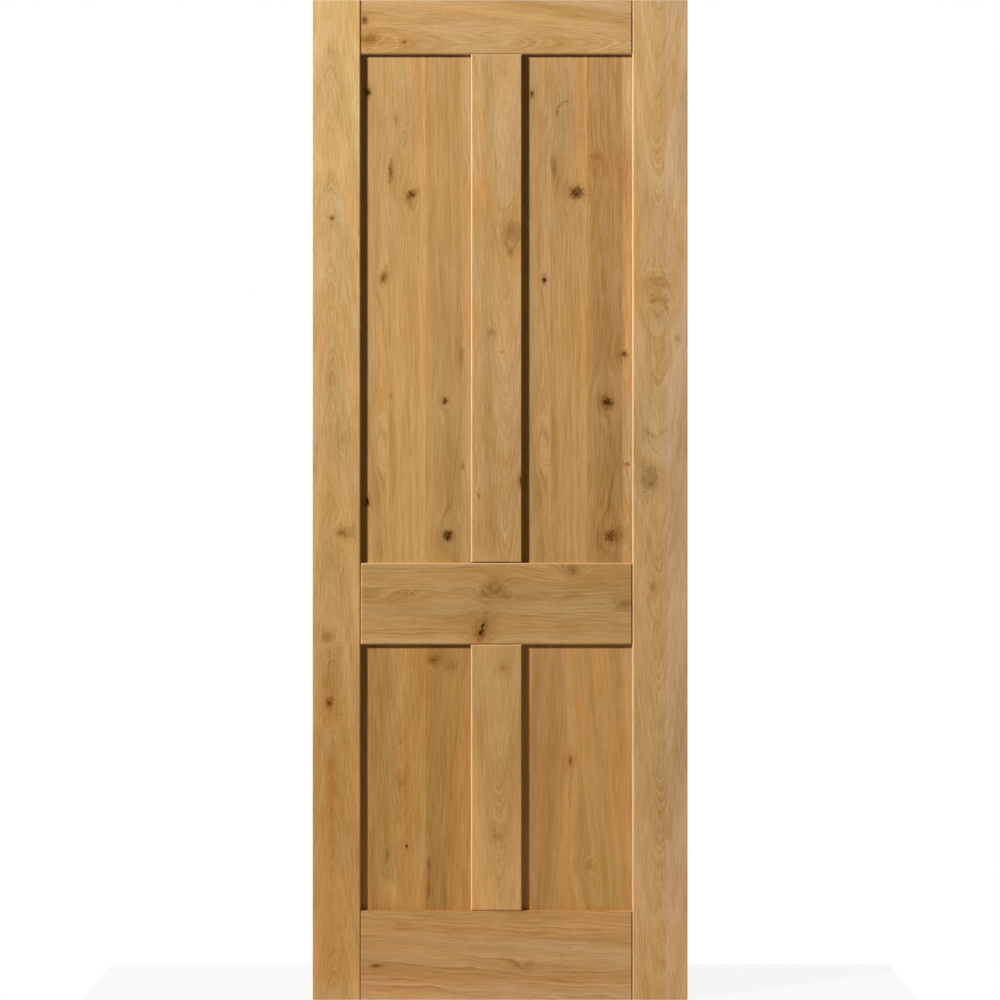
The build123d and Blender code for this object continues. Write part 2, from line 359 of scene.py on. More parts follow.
STAINS = {
    "left_stile": [
        Stain(-341, 430, 10, 150, "orange", 0.6),
        Stain(-341, 340, 5, 90, "brown", 0.3),
        Stain(-347, 1260, 8, 60, "orange", 0.5),
        Stain(-360, 1450, 7, 160, "pink", 0.6),
        Stain(-363, 1510, 12, 90, "light", 0.7),
        Stain(-350, 1820, 40, 120, "ash", 0.15),
        Stain(-332, 300, 60, 110, "deep", 0.4),
        Stain(-332, 4, 90, 38, "ash", 0.9),
    ],
    "right_stile": [
        Stain(321, 1570, 22, 65, "pink", 0.7),
        Stain(325, 1660, 60, 110, "light", 0.25),
        Stain(325, 890, 60, 110, "light", 0.3),
        Stain(322, 1384, 20, 34, "grey", 0.6),
        Stain(318, 1467, 16, 6, "brown", 0.4, 10),
        Stain(332, 1453, 11, 5, "brown", 0.4, -10),
        Stain(309, 1436, 8, 3.5, "brown", 0.3, -8),
        Stain(338, 1407, 3, 9, "line", 0.6, 22),
        Stain(311, 1299, 3, 16, "light", 0.7, 14),
        Stain(336, 1303, 3, 16, "light", 0.8, -14),
        Stain(317, 1254, 9, 9, "brown", 0.25),
        Stain(337, 1262, 4, 12, "light", 0.8, -10),
        Stain(306, 1151, 13, 5, "brown", 0.6, -42),
        Stain(329, 1152, 15, 5, "brown", 0.55, 40),
        Stain(315, 1012, 26, 22, "light", 0.5),
        Stain(293, 1180, 16, 130, "deep", 0.55),
        Stain(352, 1115, 18, 90, "pink", 0.45),
        Stain(362, 1100, 12, 90, "light", 0.5),
        Stain(357, 1625, 16, 110, "light", 0.9),
        # Painted shade: darker lines on the stile's inner arris where the rails meet it
        Stain(270.3, 1977, 2, 60, "line", 0.8),
        Stain(270.3, 805, 2, 80, "line", 0.55),
        Stain(270.3, 85, 2, 95, "line", 0.85),
    ],
    "upper_muntin": [
        Stain(-39, 1640, 18, 50, "orange", 0.6),
        Stain(-44, 1818, 14, 85, "light", 0.9),
        Stain(0, 1720, 60, 70, "light", 0.1),
        Stain(26, 1556, 28, 38, "brown", 0.25),
        Stain(13, 1535, 3, 13, "brown", 0.5, 24),
        Stain(31, 1535, 3, 13, "brown", 0.5, -24),
        Stain(22, 1540, 5, 7, "light", 0.7),
        Stain(-13, 1558, 10, 24, "pink", 0.5),
        Stain(-32, 955, 24, 65, "deep", 0.45),
        Stain(-14, 950, 8, 60, "brown", 0.2),
        # Painted shade on the muntin's lower arris above the mid rail, then painted highlight on
        # its top arris
        Stain(-7, 889, 90, 1.8, "joint", 1.0),
        Stain(-7, 1920.5, 90, 1.5, "light", 0.8),
    ],
    # Painted highlight on the muntin's top arris under the mid rail
    "lower_muntin": [Stain(-7, 720.5, 90, 1.5, "light", 1.0)],
    "top_rail": [
        Stain(-262, 1951, 34, 14, "brown", 0.25),
        # Painted shade along the rail's lower arris over the panels, and in the joint at its left
        # end
        Stain(-172, 1923, 125, 1.3, "joint", 0.6),
        Stain(158, 1923, 125, 1.3, "joint", 0.6),
        Stain(-282, 1977, 1.3, 80, "joint", 0.6),
    ],
    "mid_rail": [
        Stain(0, 832, 50, 26, "brown", 0.25),
        Stain(-12, 838, 10, 8, "grey", 1.0),
        Stain(-39, 756, 30, 28, "brown", 0.35),
        Stain(-49, 746, 4, 9, "brown", 0.6, -10),
        Stain(-18, 768, 24, 16, "brown", 0.3),
        # Painted highlight on the rail's left end arris, which faces the lamp
        Stain(-282, 805, 1.6, 100, "light", 1.0),
        Stain(-165, 862, 115, 11, "light", 0.8),
        Stain(-165, 793, 115, 16, "deep", 0.4),
        # Painted shade on the rail's right end arris, which faces away from the lamp
        Stain(268.5, 805, 1.4, 90, "joint", 0.6),
    ],
    # Painted shade along the rail's top arris
    "bottom_rail": [Stain(-7, 180, 500, 1.5, "line", 0.55)],
    "upper_left_panel": [
        Stain(-200, 1720, 26, 110, "olive", 0.3),
        Stain(-174, 1850, 24, 95, "deep", 0.8),
        Stain(-182, 1618, 6, 10, "brown", 0.65),
        Stain(-229, 1850, 3, 60, "light", 0.9),
        Stain(-71, 1668, 1.8, 16, "line", 0.6, -12),
        Stain(-67, 1711, 2, 12, "light", 1.0, 18),
        Stain(-64, 1711, 1.5, 12, "line", 0.5, 18),
        Stain(-89, 1103, 2, 87, "line", 0.5, -6),
        Stain(-105, 1001, 2, 20, "line", 0.4, -35),
    ],
    "upper_right_panel": [
        Stain(122, 1727, 26, 110, "olive", 0.3),
        Stain(130, 1800, 32, 110, "grey", 0.5),
        Stain(150, 1850, 24, 95, "deep", 0.7),
        Stain(256, 1690, 10, 70, "deep", 0.8),
        Stain(109, 1679, 2.2, 12, "line", 0.6, 4),
        Stain(113, 1695, 1.8, 11, "line", 0.6, 6),
        Stain(117, 1806, 3.0, 10, "line", 0.9, -8),
        Stain(121, 1819, 2.0, 7, "line", 0.9, -38),
        Stain(132, 1827, 2.0, 9, "line", 0.9, -70),
        Stain(215, 1840, 36, 80, "light", 0.35),
        Stain(212, 1697, 34, 28, "red", 0.35),
        Stain(213, 1340, 34, 55, "red", 0.25),
        Stain(236, 1262, 16, 36, "light", 0.6),
        Stain(244, 1200, 2, 20, "line", 0.35, 18),
        Stain(246, 1152, 2, 36, "line", 0.5),
        Stain(240, 1098, 2, 34, "line", 0.5, -12),
        Stain(227, 1044, 2, 34, "line", 0.3, -14),
        Stain(215, 955, 40, 45, "orange", 0.5),
        Stain(252, 1655, 9, 55, "red", 0.4),
    ],
    "lower_left_panel": [
        Stain(-114, 696, 40, 26, "brown", 0.33),
        Stain(-140, 330, 7, 150, "brown", 0.3),
        Stain(-116, 230, 6, 60, "brown", 0.35),
        Stain(-208, 580, 14, 110, "pink", 0.6),
        Stain(-208, 590, 18, 110, "ash", 0.3),
        Stain(-222, 215, 14, 40, "light", 0.4),
    ],
    "lower_right_panel": [
        Stain(143, 430, 3, 50, "brown", 0.4),
        Stain(152, 480, 6, 110, "light", 0.3),
    ],
}


class OakFinish(PropertyGroup):
    """Colours and gloss of the oak."""

    frame_colour: FloatVectorProperty(
        name="Frame oak", description="Clear oak of the stiles, rails and muntins",
        subtype="COLOR", min=0, max=1, default=(0.64, 0.40, 0.165),
    )
    panel_colour: FloatVectorProperty(
        name="Panel oak", description="Clear oak of the four panels",
        subtype="COLOR", min=0, max=1, default=(0.60, 0.35, 0.13),
    )
    knot_body: FloatVectorProperty(
        name="Knot wood", description="The brown wood of a knot round its heart",
        subtype="COLOR", min=0, max=1, default=(0.235, 0.098, 0.016),
    )
    knot_heart: FloatVectorProperty(
        name="Knot heart", description="The dark middle and the cracks of a knot",
        subtype="COLOR", min=0, max=1, default=(0.05, 0.013, 0.001),
    )
    # Painted sheen: the pale colour of the arrises stands in for the shine of the satin finish on
    # them
    arris_sheen_colour: FloatVectorProperty(
        name="Worn edges", description="Paler oak along the arrises, where the finish is thin",
        subtype="COLOR", min=0, max=1, default=(0.72, 0.54, 0.33),
    )
    gloss: FloatProperty(
        name="Clear coat", description="Strength of the reflection of the satin finish",
        subtype="FACTOR", min=0, max=1, default=0.05,
    )


class DoorStudio(PropertyGroup):
    """The lamps, floor and camera round the leaf."""

    key_power: FloatProperty(
        name="Key lamp", description="Power of the lamp to the upper left of the shown face",
        unit="POWER", min=0, default=493,
    )
    back_power: FloatProperty(
        name="Back lamp", description="Power of the lamp that lights the other face",
        unit="POWER", min=0, default=400,
    )
    fill: FloatProperty(
        name="Fill", description="Strength of the even light from all round",
        min=0, max=1, default=0.08,
    )
    camera_distance: FloatProperty(
        name="Camera distance", description="From the lens to the shown face",
        unit="LENGTH", min=1, default=4.8,
    )
    floor_colour: FloatVectorProperty(
        name="Floor", description="Colour of the pale floor",
        subtype="COLOR", min=0, max=1, default=(0.5, 0.5, 0.49),
    )


def add(tree, kind, inputs=None, **settings):
    """A new shader node, with its settings, and its inputs set to values or linked to outputs."""
    node = tree.nodes.new("ShaderNode" + kind)
    for name, value in settings.items():
        setattr(node, name, value)
    for name, value in (inputs or {}).items():
        put(tree, node.inputs[name], value)
    return node


def put(tree, socket, value):
    """Sets a socket to a value, or links an output to it."""
    if isinstance(value, bpy.types.NodeSocket):
        tree.links.new(value, socket)
    else:
        socket.default_value = value


def calc(tree, operation, *values, clamp=False):
    """The output of a Math node."""
    node = add(tree, "Math", operation=operation, use_clamp=clamp)
    for socket, value in zip(node.inputs, values):
        put(tree, socket, value)
    return node.outputs[0]


def times(tree, first, second):
    """One value times another."""
    return calc(tree, "MULTIPLY", first, second)


def vector(tree, operation, *values, output="Vector"):
    """The output of a Vector Math node."""
    node = add(tree, "VectorMath", operation=operation)
    for socket, value in zip(node.inputs, values):
        put(tree, socket, value)
    return node.outputs[output]


def scaled(tree, arrow, factor):
    """A vector times a number."""
    node = add(tree, "VectorMath", {"Vector": arrow, "Scale": factor}, operation="SCALE")
    return node.outputs["Vector"]


def parts(tree, arrow):
    """The X, Y and Z of a vector."""
    return add(tree, "SeparateXYZ", {"Vector": arrow}).outputs


def noise(tree, at, scale=1.0, detail=2.0, output="Fac"):
    """A noise about 0.5, at a place that may be drawn out first."""
    return add(tree, "TexNoise", {"Vector": at, "Scale": scale, "Detail": detail}).outputs[output]


def span(tree, value, low, high, to_low=0.0, to_high=1.0, smooth=True):
    """A value carried from one range to another, held within it."""
    node = add(tree, "MapRange", interpolation_type="SMOOTHSTEP" if smooth else "LINEAR")
    for socket, number in zip(node.inputs, (value, low, high, to_low, to_high)):
        put(tree, socket, number)
    return node.outputs[0]


def mix(tree, factor, first, second, blend="MIX"):
    """The colour output of a Mix node."""
    node = add(tree, "Mix", data_type="RGBA", blend_type=blend)
    for name, value in (("Factor_Float", factor), ("A_Color", first), ("B_Color", second)):
        socket = next(s for s in node.inputs if s.identifier == name)
        put(tree, socket, value)
    return next(s for s in node.outputs if s.identifier == "Result_Color")


# How many numbers a value holds, and the socket for it
NUMBER, VECTOR, COLOUR = 1, 3, 4
SOCKETS = {NUMBER: "NodeSocketFloat", VECTOR: "NodeSocketVector", COLOUR: "NodeSocketColor"}
ORIGIN = (0, 0, 0)


def group(name, inputs, outputs):
    """A new shader node group from its inputs' defaults and its outputs' kinds, and its sockets."""
    tree = bpy.data.node_groups.new(name, "ShaderNodeTree")
    for label, default in inputs.items():
        kind = SOCKETS[len(default) if isinstance(default, tuple) else NUMBER]
        socket = tree.interface.new_socket(name=label, in_out="INPUT", socket_type=kind)
        socket.default_value = default
    for label, count in outputs.items():
        tree.interface.new_socket(name=label, in_out="OUTPUT", socket_type=SOCKETS[count])
    return tree, tree.nodes.new("NodeGroupInput").outputs, tree.nodes.new("NodeGroupOutput").inputs


def place_group(tree, name, inputs):
    """A group node in a material, with its inputs set or linked."""
    node = tree.nodes.new("ShaderNodeGroup")
    node.node_tree = bpy.data.node_groups[name]
    for label, value in inputs.items():
        put(tree, node.inputs[label], value)
    return node.outputs


def bell(tree, distance):
    """One at the middle, falling away smoothly to nothing beyond about two."""
    return calc(tree, "EXPONENT", times(tree, calc(tree, "POWER", distance, 2.0), -1.0))


# The parts of a knot or a stain, in its half sizes: where each starts, and where it is whole
BODY_FADE = (1.6, 0.5)
CRACK_FADE = (1.3, 0.6)
HEART_EDGE = (1.1, 0.12)  # its start: the core's size times the first, plus the second
HEART_WHOLE = 0.55  # where it is whole, times the core's size
HEART_RAGGED = 1.6  # how much more ragged it is than the rest
HALO_SHARE = 0.8  # of the mark's reach
PARTING_SHAPE = (0.8, 1.0, 0.4)  # below 1, the parting of the grain goes further that way


def make_mark_group():
    """How near a point is to a knot or a stain, and how the knot pushes the grain and the rings."""
    tree, given, result = group(
        "oak_mark",
        {
            "Place": ORIGIN, "Centre": ORIGIN, "Half Size": (1, 1, 1), "Turn": 0.0, "Ragged": 0.0,
            "Reach": 2.0, "Part": 0.0, "Splits": 0.0, "Core": 0.5,
        },
        {
            "Heart": NUMBER, "Body": NUMBER, "Halo": NUMBER, "Push": NUMBER, "Shift": VECTOR,
            "Crack": NUMBER,
        },
    )
    offset = vector(tree, "SUBTRACT", given["Place"], given["Centre"])
    turned = add(
        tree, "VectorRotate", {"Vector": offset, "Angle": given["Turn"], "Axis": (0, 1, 0)},
        rotation_type="AXIS_ANGLE",
    ).outputs[0]
    share = vector(tree, "DIVIDE", turned, given["Half Size"])
    plain = vector(tree, "LENGTH", share, output="Value")
    ragged = calc(tree, "ADD", plain, given["Ragged"])
    put(tree, result["Body"], span(tree, ragged, *BODY_FADE))

    torn = calc(tree, "MULTIPLY_ADD", given["Ragged"], HEART_RAGGED, plain)
    edge = calc(tree, "MULTIPLY_ADD", given["Core"], *HEART_EDGE)
    whole = times(tree, given["Core"], HEART_WHOLE)
    put(tree, result["Heart"], span(tree, torn, edge, whole))

    halo_reach = times(tree, given["Reach"], HALO_SHARE)
    put(tree, result["Halo"], bell(tree, calc(tree, "DIVIDE", ragged, halo_reach)))
    put(tree, result["Push"], bell(tree, calc(tree, "DIVIDE", plain, given["Reach"])))

    # The grain parts further above and below a knot than beside it
    drawn_out = vector(tree, "MULTIPLY", share, PARTING_SHAPE)
    far = calc(tree, "DIVIDE", vector(tree, "LENGTH", drawn_out, output="Value"), given["Reach"])
    parting = times(tree, bell(tree, far), given["Part"])
    aside = vector(tree, "MULTIPLY", offset, (-1.0, 0.0, 0.0))
    put(tree, result["Shift"], scaled(tree, aside, parting))

    crack = span(tree, plain, *CRACK_FADE)
    put(tree, result["Crack"], times(tree, given["Splits"], crack))


# How the rings stray from true, at scales across the grain, in depth and along it
SLOW_STRAY = (5.0, 5.0, 1.6)
QUICK_STRAY = (34.0, 34.0, 9.0)
QUICK_RINGS = 2.2  # how many rings the quick one can move them


def make_ring_group():
    """Counts the growth rings from the pith at a point of a board."""
    tree, given, result = group(
        "oak_rings",
        {
            "Place": ORIGIN, "Pith": ORIGIN, "Taper": 0.1, "Ring": 0.003, "Wander": 0.01,
            "Push": 0.0, "Seed": 0.0,
        },
        {"Rings": NUMBER},
    )
    seed = add(tree, "CombineXYZ", {axis: given["Seed"] for axis in "XYZ"}).outputs[0]
    slow = vector(tree, "MULTIPLY_ADD", given["Place"], SLOW_STRAY, seed)
    # From -1 to 1 across the grain and in depth, and nothing along it
    drift = noise(tree, slow, detail=1.0, output="Color")
    drift = vector(tree, "SUBTRACT", drift, (0.5, 0.5, 0.5))
    drift = vector(tree, "MULTIPLY", drift, (2.0, 2.0, 0.0))
    moved = vector(tree, "ADD", given["Place"], scaled(tree, drift, given["Wander"]))
    from_pith = vector(tree, "SUBTRACT", moved, given["Pith"])
    across = vector(tree, "MULTIPLY", from_pith, (1.0, 1.0, 0.0))
    radius = vector(tree, "LENGTH", across, output="Value")
    along = parts(tree, given["Place"])["Z"]
    radius = calc(tree, "MULTIPLY_ADD", along, given["Taper"], radius)
    rings = calc(tree, "DIVIDE", radius, given["Ring"])
    quick = vector(tree, "MULTIPLY_ADD", given["Place"], QUICK_STRAY, seed)
    rings = calc(tree, "MULTIPLY_ADD", noise(tree, quick), QUICK_RINGS, rings)
    put(tree, result["Rings"], calc(tree, "ADD", rings, given["Push"]))


# Noise that follows the rings: its scales across them, in depth and along the grain, and its detail
BANDS = (0.28, 20.0, 1.2, 2.0)
STREAKS = (1.9, 120.0, 12.0, 3.0)
LINE_GAPS = (0.45, 25.0, 6.0, 2.0)
WARMTH = (0.16, 8.0, 1.4, 1.0)
RING_SCALE = 200.0  # the scales across the rings are for steps of 5 mm

# Noise that doesn't: its scales across and along the grain, and its detail
FIBRES = (620.0, 22.0, 2.0)
MOTTLE = (30.0, 9.0, 1.0)
PORES = (1300.0, 60.0, 1.0)

# A year's ring, as shares of it: the pale early wood and the dark late wood come and go
EARLY = ((0.0, 0.10), (0.36, 0.14))
LATE = ((0.35, 0.92), (1.0, 0.96))
PORES_IN_RING = (0.9, 0.2)
EARLY_WEIGHT = 0.40
LATE_WEIGHT = 0.45
GAP_FADE = (0.42, 0.70)

# How much two of the patterns darken the oak, where it is between its palest and its darkest, and
# what multiplies it at those
STREAK_WEIGHT = 0.8
MOTTLE_WEIGHT = 0.5
MIDDLE_TONE = 0.32
PALEST = (1.14, 1.19, 1.34, 1)
DARKEST = (0.70, 0.57, 0.26, 1)

# Wide bands of cooler and warmer oak
WARM_FADE = (0.35, 0.65)
COOL = (0.975, 1.01, 1.06, 1)
WARM = (1.03, 0.985, 0.93, 1)

PORE_FADE = (0.60, 0.70)
PORE_DEPTH = 0.35
PORE_COLOUR = (0.20, 0.10, 0.035, 1)
END_FADE = (0.5, 0.72)  # how squarely the surface faces along the grain
# The darker colour of end grain, partly painted shade where it lies in the joints at the rail ends
END_GRAIN_AND_SHADE_COLOUR = (0.20, 0.10, 0.03, 1)

# The surface
ROUGHNESS = 0.38
STREAK_ROUGHNESS = 0.2
PORE_ROUGHNESS = 0.2
STREAK_HEIGHT = 0.6
PORE_HEIGHT = -0.7


def make_grain_group():
    """The oak between the knots: ring lines, bands, streaks, fibres and open pores."""
    tree, given, result = group(
        "oak_grain",
        {
            "Place": ORIGIN, "Rings": 0.0, "Oak": (0.6, 0.4, 0.2, 1), "Lines": 1.0, "Streaks": 1.0,
            "Facing": (0, 1, 0), "Ring": 0.003, "Fine": 1.0, "Broad": 1.1, "Ends": 0.45,
        },
        {"Color": COLOUR, "Roughness": NUMBER, "Height": NUMBER},
    )
    place = parts(tree, given["Place"])
    ring_step = times(tree, given["Ring"], RING_SCALE)
    out_from_pith = times(tree, given["Rings"], ring_step)

    def ringed(ring_scale, depth_scale, along_scale, detail):
        """Noise drawn out along the grain, which follows the rings round the knots."""
        at = add(tree, "CombineXYZ", {
            "X": times(tree, out_from_pith, ring_scale),
            "Y": times(tree, place["Y"], depth_scale),
            "Z": times(tree, place["Z"], along_scale),
        }).outputs[0]
        return noise(tree, at, detail=detail)

    def straight(across_scale, along_scale, detail):
        """Noise drawn out along the grain, at its own scale across it."""
        scales = (across_scale, across_scale, along_scale)
        return noise(tree, vector(tree, "MULTIPLY", given["Place"], scales), detail=detail)

    def darker(total, texture, weight):
        """Adds a texture to the darkening, where 0.5 leaves it as it is."""
        return calc(tree, "MULTIPLY_ADD", calc(tree, "SUBTRACT", 0.5, texture), weight, total)

    def season(comes, goes):
        """How surely a point of a ring grew in one part of the year."""
        return times(tree, span(tree, share, *comes), span(tree, share, *goes))

    share = calc(tree, "FRACT", given["Rings"])
    pale = times(tree, season(*EARLY), EARLY_WEIGHT)
    late = times(tree, season(*LATE), LATE_WEIGHT)
    fade = span(tree, ringed(*LINE_GAPS), *GAP_FADE)
    line = times(tree, calc(tree, "SUBTRACT", late, pale), fade)
    line = times(tree, line, given["Lines"])

    streak = ringed(*STREAKS)
    uneven = darker(0.0, ringed(*BANDS), given["Broad"])
    uneven = darker(uneven, streak, STREAK_WEIGHT)
    uneven = darker(uneven, straight(*FIBRES), given["Fine"])
    uneven = darker(uneven, straight(*MOTTLE), MOTTLE_WEIGHT)
    dark = calc(tree, "MULTIPLY_ADD", uneven, given["Streaks"], line)
    dark = calc(tree, "ADD", dark, MIDDLE_TONE, clamp=True)
    colour = mix(tree, 1.0, given["Oak"], mix(tree, dark, PALEST, DARKEST), blend="MULTIPLY")
    warm = span(tree, ringed(*WARMTH), *WARM_FADE)
    colour = mix(tree, 1.0, colour, mix(tree, warm, COOL, WARM), blend="MULTIPLY")

    pores = span(tree, straight(*PORES), *PORE_FADE)
    pores = times(tree, pores, span(tree, share, *PORES_IN_RING))
    colour = mix(tree, times(tree, pores, PORE_DEPTH), colour, PORE_COLOUR)
    # End grain is darker; at the rail ends it also darkens the arrises in the joints, as painted
    # shade
    end = span(tree, calc(tree, "ABSOLUTE", parts(tree, given["Facing"])["Z"]), *END_FADE)
    colour = mix(tree, times(tree, end, given["Ends"]), colour, END_GRAIN_AND_SHADE_COLOUR)
    put(tree, result["Color"], colour)
    roughness = calc(tree, "MULTIPLY_ADD", streak, STREAK_ROUGHNESS, ROUGHNESS)
    roughness = calc(tree, "MULTIPLY_ADD", pores, PORE_ROUGHNESS, roughness)
    put(tree, result["Roughness"], roughness)
    relief = times(tree, streak, STREAK_HEIGHT)
    put(tree, result["Height"], calc(tree, "MULTIPLY_ADD", pores, PORE_HEIGHT, relief))


def toned(colour, tone):
    """The oak's colour multiplied by a tone."""
    return (*(level * share for level, share in zip(colour, tone)), 1)


def on_board(across, up, lying):
    """A place on the face in its board's own axes: across the grain, in depth and along it."""
    return (up * MM, 0.0, across * MM) if lying else (across * MM, 0.0, up * MM)


LEAST_STEP = 0.0015  # between two stops at one place, so that they keep their order
RAMP_TOP = 2  # a ramp's colours stop at 1, so its tones are written as shares of this


def tone_ramp(tree, stops, across):
    """The tone across a board, as a colour that multiplies the oak."""
    low, high = stops[0][0], stops[-1][0]
    factor = span(tree, across, low * MM, high * MM, smooth=False)
    ramp = add(tree, "ValToRGB", {"Fac": factor})
    points = ramp.color_ramp.elements
    while len(points) < len(stops):
        points.new(0.5)  # moved below
    last = 0.0
    for point, (place, bright, *tint) in zip(points, stops):
        red, blue = tint or (1, 1)
        last = max((place - low) / (high - low), last + LEAST_STEP if last else 0.0)
        point.position = min(last, 1.0)
        point.color = (bright * red / RAMP_TOP, bright / RAMP_TOP, bright * blue / RAMP_TOP, 1)
    return mix(tree, 1.0, ramp.outputs[0], (RAMP_TOP, RAMP_TOP, RAMP_TOP, 1), blend="MULTIPLY")


def mark_of(tree, item, place, ragged, reach, lying, **more):
    """The mark group's outputs for a knot or a stain of a board."""
    wide, tall = (item.tall, item.wide) if lying else (item.wide, item.tall)
    return place_group(tree, "oak_mark", {
        "Place": place, "Centre": on_board(item.across, item.up, lying),
        "Half Size": (wide * MM, THROUGH, tall * MM),
        "Turn": math.radians(item.turn) * (-1 if lying else 1),
        "Ragged": ragged, "Reach": reach, **more,
    })


LAID = (math.pi, -math.pi / 2, 0)  # turns a rail's length on to the grain's axis, Z

RAGGED_SCALE = 130.0
RAGGED_WIDTH = 1.3  # how far a mark's edge strays in all, in its half sizes
CRACK_SCALE = 140.0
CRACK_WIDTH = (0.12, 0.03)
SPECK_SCALE = 330.0
SPECK_FADE = (0.36, 0.52, 0.4, 1.0)  # a knot's heart keeps at least 0.4 of its black
STAIN_REACH = 1.25  # in its half sizes

# How a knot's darkness tells on it
CORE_SIZE = 0.85  # of the heart, times the darkness
HOLLOW_SIZE = 0.9  # of the clear middle of one that shows as a ring
BODY_BASE = 0.25  # added to the darkness for the body's strength
HEART_FROM = 0.3  # a paler knot has no black heart
HEART_RISE = 2.2  # the heart's strength: the darkness times this,
HEART_DROP = 0.55  # less this

# An arris, by how squarely it faces across the grain
ARRIS_COMES = (0.3, 0.5)
ARRIS_GOES = (0.95, 0.8)

RELIEF = {"Strength": 0.2, "Distance": 0.0004}  # of the grain's bumps


def part_grain(tree, node, place, ragged, lying):
    """Each knot of a board with its mark, how far they push the rings, and the grain round them."""
    cells = add(
        tree, "TexVoronoi", {"Vector": place, "Scale": CRACK_SCALE}, feature="DISTANCE_TO_EDGE"
    )
    splits = span(tree, cells.outputs["Distance"], *CRACK_WIDTH)
    push = 0.0
    bent = place
    knots = []
    for knot in KNOTS[node]:
        core = HOLLOW_SIZE if knot.hollow else CORE_SIZE * knot.dark
        extra = {"Part": knot.part, "Splits": splits, "Core": core}
        mark = mark_of(tree, knot, place, ragged, knot.reach, lying, **extra)
        push = calc(tree, "MULTIPLY_ADD", mark["Push"], knot.swirl, push)
        bent = vector(tree, "ADD", bent, mark["Shift"])
        knots.append((knot, mark))
    return knots, push, bent


def lay_veneer(tree, figure, place, across):
    """Where the grain is read from, which jumps where one leaf of veneer meets the next."""
    place = vector(tree, "ADD", place, (-figure.slip * MM, 0.0, 0.0))
    for joint, across_jump, along_jump in figure.joints:
        past = calc(tree, "GREATER_THAN", across, (joint + figure.slip) * MM)
        jump = scaled(tree, (across_jump * MM, 0.0, along_jump * MM), past)
        place = vector(tree, "ADD", place, jump)
    return place


def tinted(tree, colour, hue, strength):
    """A colour with one of the hues laid over it."""
    tint = mix(tree, 1.0, colour, (*HUES[hue], 1), blend="MULTIPLY")
    return mix(tree, strength, colour, tint)


def draw_knots(tree, knots, colour, place, oak):
    """The colour of a board with the halos, the brown bodies and the black hearts of its knots."""
    specks = span(tree, noise(tree, place, scale=SPECK_SCALE), *SPECK_FADE)
    for knot, mark in knots:
        colour = tinted(tree, colour, knot.hue, times(tree, mark["Halo"], knot.halo))
        if not knot.dark:
            continue
        body = mark["Body"]
        if knot.hollow:
            body = calc(tree, "MULTIPLY_ADD", mark["Heart"], -knot.hollow, body, clamp=True)
        body = times(tree, body, knot.body * min(1.0, BODY_BASE + knot.dark))
        colour = mix(tree, body, colour, (*oak.knot_body, 1))
        if knot.dark < HEART_FROM or knot.hollow:
            continue
        heart = times(tree, mark["Heart"], specks)
        heart = times(tree, heart, min(1.0, HEART_RISE * knot.dark - HEART_DROP))
        if knot.crack:
            heart = calc(tree, "MAXIMUM", heart, times(tree, mark["Crack"], knot.crack))
        colour = mix(tree, heart, colour, (*oak.knot_heart, 1))
    return colour


